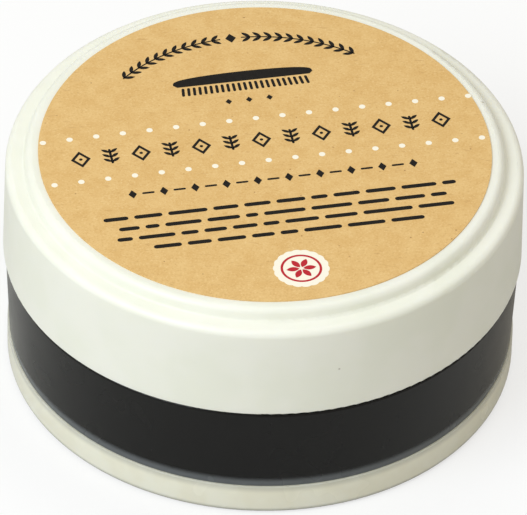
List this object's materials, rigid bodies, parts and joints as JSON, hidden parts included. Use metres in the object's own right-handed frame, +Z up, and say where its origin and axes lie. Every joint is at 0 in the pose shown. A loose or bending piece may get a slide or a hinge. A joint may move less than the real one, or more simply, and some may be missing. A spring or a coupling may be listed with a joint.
{
  "type": "shoe polish jar",
  "caption": "Round screw-top jar of shoe polish: translucent jar with a foot flange and black fill, white lid with a raised labelled top and a sealing wad.",
  "frame": {"origin": "centre of the jar's foot, on the surface that it stands on", "axes": "+Z up along the axis of the jar and of its screw lid; the shape is round, and the front of the label's print faces -Y"},
  "size_m": [0.07, 0.07, 0.0342],
  "materials": {
    "jar_plastic": "natural translucent polypropylene, smooth satin",
    "lid_plastic": "white polypropylene, satin",
    "wad_foam": "closed-cell foam sheet, matte",
    "label_paper": "uncoated kraft paper",
    "shoe_cream": "soft black wax cream",
    "ink_black": "matte print",
    "ink_white": "matte print",
    "ink_red": "matte print"
  },
  "bodies": {
    "jar": {"jar_body": "jar_plastic", "shoe_cream": "shoe_cream"},
    "wad": {"lid_wad": "wad_foam"},
    "lid": {"lid_shell": "lid_plastic", "top_label": "label_paper"}
  },
  "joints": [
    {"name": "lid_rise", "type": "slide", "parent": "jar", "child": "wad", "axis": [0, 0, 1], "range_m": [0, 0.016]},
    {"name": "lid_turn", "type": "hinge", "parent": "wad", "child": "lid", "pos_m": [0, 0, 0], "axis": [0, 0, 1], "range_deg": [0, 720]}
  ],
  "couplings": [
    {"joint": "lid_rise", "follows": "lid_turn", "m_per_rad": 0.0012732}
  ]
}
